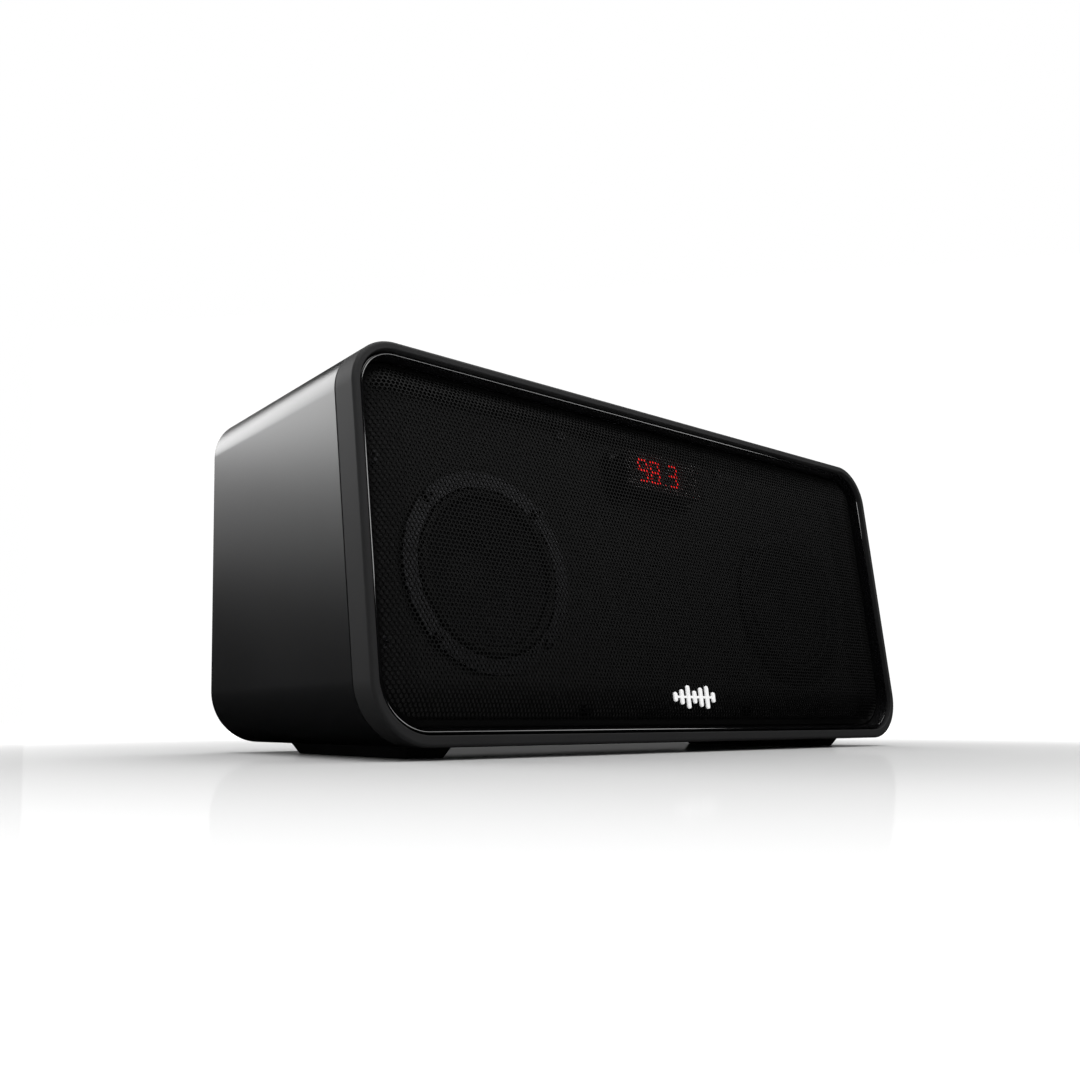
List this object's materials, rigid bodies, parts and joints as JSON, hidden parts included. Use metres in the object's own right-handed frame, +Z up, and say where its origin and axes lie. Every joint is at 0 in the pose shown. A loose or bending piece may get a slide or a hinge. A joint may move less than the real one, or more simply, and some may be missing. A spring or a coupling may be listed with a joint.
{
  "type": "tabletop radio",
  "caption": "Tabletop stereo radio with a rounded cabinet, perforated front grille over two loudspeakers, red digit display, top keys and a folding telescopic antenna.",
  "frame": {"origin": "on the floor under the feet, midway across the width and midway between the frontmost and rearmost points", "axes": "+X to the right as seen from the front, +Y from the front to the back, +Z up"},
  "size_m": [0.37, 0.1662, 0.172],
  "materials": {
    "lacquer": "satin black lacquer over moulded shell",
    "satin_black": "fine satin black moulding",
    "piano_black": "polished black",
    "grille_black": "black powder coat on perforated steel",
    "badge_white": "white moulding",
    "inner_black": "textured black moulding",
    "zinc_steel": "zinc plated",
    "black_steel": "black passivated steel",
    "ferrite": "ground ferrite",
    "cone_paper": "pressed black paper",
    "copper": "enamelled copper winding",
    "soft_rubber": "matt black rubber",
    "spider_cloth": "resin-treated woven cloth",
    "foam": "closed-cell foam",
    "key_rubber": "soft-touch keys",
    "display_red": "lit red",
    "display_black": "black resin",
    "smoke_window": "smoked red window",
    "circuit_board": "green solder mask",
    "components": "black component bodies",
    "sink_aluminium": "extruded",
    "nickel": "nickel plated",
    "antenna_chrome": "polished",
    "lead_sleeve": "soft sleeve",
    "ribbon_grey": "flat cable"
  },
  "bodies": {
    "cabinet": {"antenna_socket": "nickel", "audio_jacks": "components", "badge": "badge_white", "baffle": "inner_black", "baffle_screws": "black_steel", "board_screws": "zinc_steel", "cabinet_shell": "lacquer", "control_board": "circuit_board", "control_panel": "satin_black", "display_filter": "smoke_window", "display_module": "display_black", "display_segments": "display_red", "driver_frame_left": "black_steel", "driver_frame_right": "black_steel", "driver_gaskets": "foam", "driver_magnet_left": "ferrite", "driver_magnet_right": "ferrite", "driver_screws": "black_steel", "driver_yoke_left": "zinc_steel", "driver_yoke_right": "zinc_steel", "foot_left": "soft_rubber", "foot_right": "soft_rubber", "foot_screws": "black_steel", "front_bezel": "satin_black", "grille": "grille_black", "heat_sink": "sink_aluminium", "key_switches": "components", "main_board": "circuit_board", "main_board_parts": "components", "panel_screws": "zinc_steel", "port_tube": "inner_black", "power_board": "circuit_board", "power_inlet": "components", "power_parts": "components", "rear_panel": "inner_black", "rear_screws": "black_steel", "ribbon_cable": "ribbon_grey", "speaker_leads": "lead_sleeve", "switch_housing": "components", "trim_ring": "piano_black"},
    "middle_tube": {"antenna_middle": "antenna_chrome"},
    "outer_tube": {"antenna_rod": "antenna_chrome"},
    "swivel": {"antenna_swivel": "antenna_chrome"},
    "tip_rod": {"antenna_tip": "antenna_chrome"},
    "key_next": {"button_next": "key_rubber"},
    "key_power": {"button_power": "key_rubber"},
    "key_previous": {"button_previous": "key_rubber"},
    "key_select": {"button_select": "key_rubber"},
    "key_source": {"button_source": "key_rubber"},
    "key_volume_down": {"button_volume_down": "key_rubber"},
    "key_volume_up": {"button_volume_up": "key_rubber"},
    "cone_assembly_left": {"cone_left": "cone_paper", "spider_left": "spider_cloth", "surround_left": "soft_rubber", "voice_coil_left": "copper"},
    "cone_assembly_right": {"cone_right": "cone_paper", "spider_right": "spider_cloth", "surround_right": "soft_rubber", "voice_coil_right": "copper"},
    "rocker": {"switch_rocker": "piano_black"}
  },
  "joints": [
    {"name": "press_power", "type": "slide", "parent": "cabinet", "child": "key_power", "axis": [0, 0, -1], "range_m": [0, 0.001], "stiffness_N_per_m": 400, "springref_m": -0.0004},
    {"name": "press_source", "type": "slide", "parent": "cabinet", "child": "key_source", "axis": [0, 0, -1], "range_m": [0, 0.001], "stiffness_N_per_m": 400, "springref_m": -0.0004},
    {"name": "press_previous", "type": "slide", "parent": "cabinet", "child": "key_previous", "axis": [0, 0, -1], "range_m": [0, 0.001], "stiffness_N_per_m": 400, "springref_m": -0.0004},
    {"name": "press_select", "type": "slide", "parent": "cabinet", "child": "key_select", "axis": [0, 0, -1], "range_m": [0, 0.001], "stiffness_N_per_m": 400, "springref_m": -0.0004},
    {"name": "press_next", "type": "slide", "parent": "cabinet", "child": "key_next", "axis": [0, 0, -1], "range_m": [0, 0.001], "stiffness_N_per_m": 400, "springref_m": -0.0004},
    {"name": "press_volume_down", "type": "slide", "parent": "cabinet", "child": "key_volume_down", "axis": [0, 0, -1], "range_m": [0, 0.001], "stiffness_N_per_m": 400, "springref_m": -0.0004},
    {"name": "press_volume_up", "type": "slide", "parent": "cabinet", "child": "key_volume_up", "axis": [0, 0, -1], "range_m": [0, 0.001], "stiffness_N_per_m": 400, "springref_m": -0.0004},
    {"name": "cone_travel_left", "type": "slide", "parent": "cabinet", "child": "cone_assembly_left", "axis": [0, -0.9922, 0.1245], "range_m": [-0.003, 0.003], "stiffness_N_per_m": 1400},
    {"name": "cone_travel_right", "type": "slide", "parent": "cabinet", "child": "cone_assembly_right", "axis": [0, -0.9922, 0.1245], "range_m": [-0.003, 0.003], "stiffness_N_per_m": 1400},
    {"name": "rocker_tilt", "type": "hinge", "parent": "cabinet", "child": "rocker", "pos_m": [0.148, 0.0678, 0.04], "axis": [1, 0, 0], "range_deg": [0, 12]},
    {"name": "antenna_turn", "type": "hinge", "parent": "cabinet", "child": "swivel", "pos_m": [0.15, 0.0797, 0.1475], "axis": [0, 1, 0], "range_deg": [0, 180]},
    {"name": "antenna_fold", "type": "hinge", "parent": "swivel", "child": "outer_tube", "pos_m": [0.15, 0.0797, 0.1475], "axis": [0, 0, -1], "range_deg": [0, 90]},
    {"name": "antenna_draw_middle", "type": "slide", "parent": "outer_tube", "child": "middle_tube", "axis": [-1, 0, 0], "range_m": [0, 0.12]},
    {"name": "antenna_draw_tip", "type": "slide", "parent": "middle_tube", "child": "tip_rod", "axis": [-1, 0, 0], "range_m": [0, 0.12]}
  ]
}
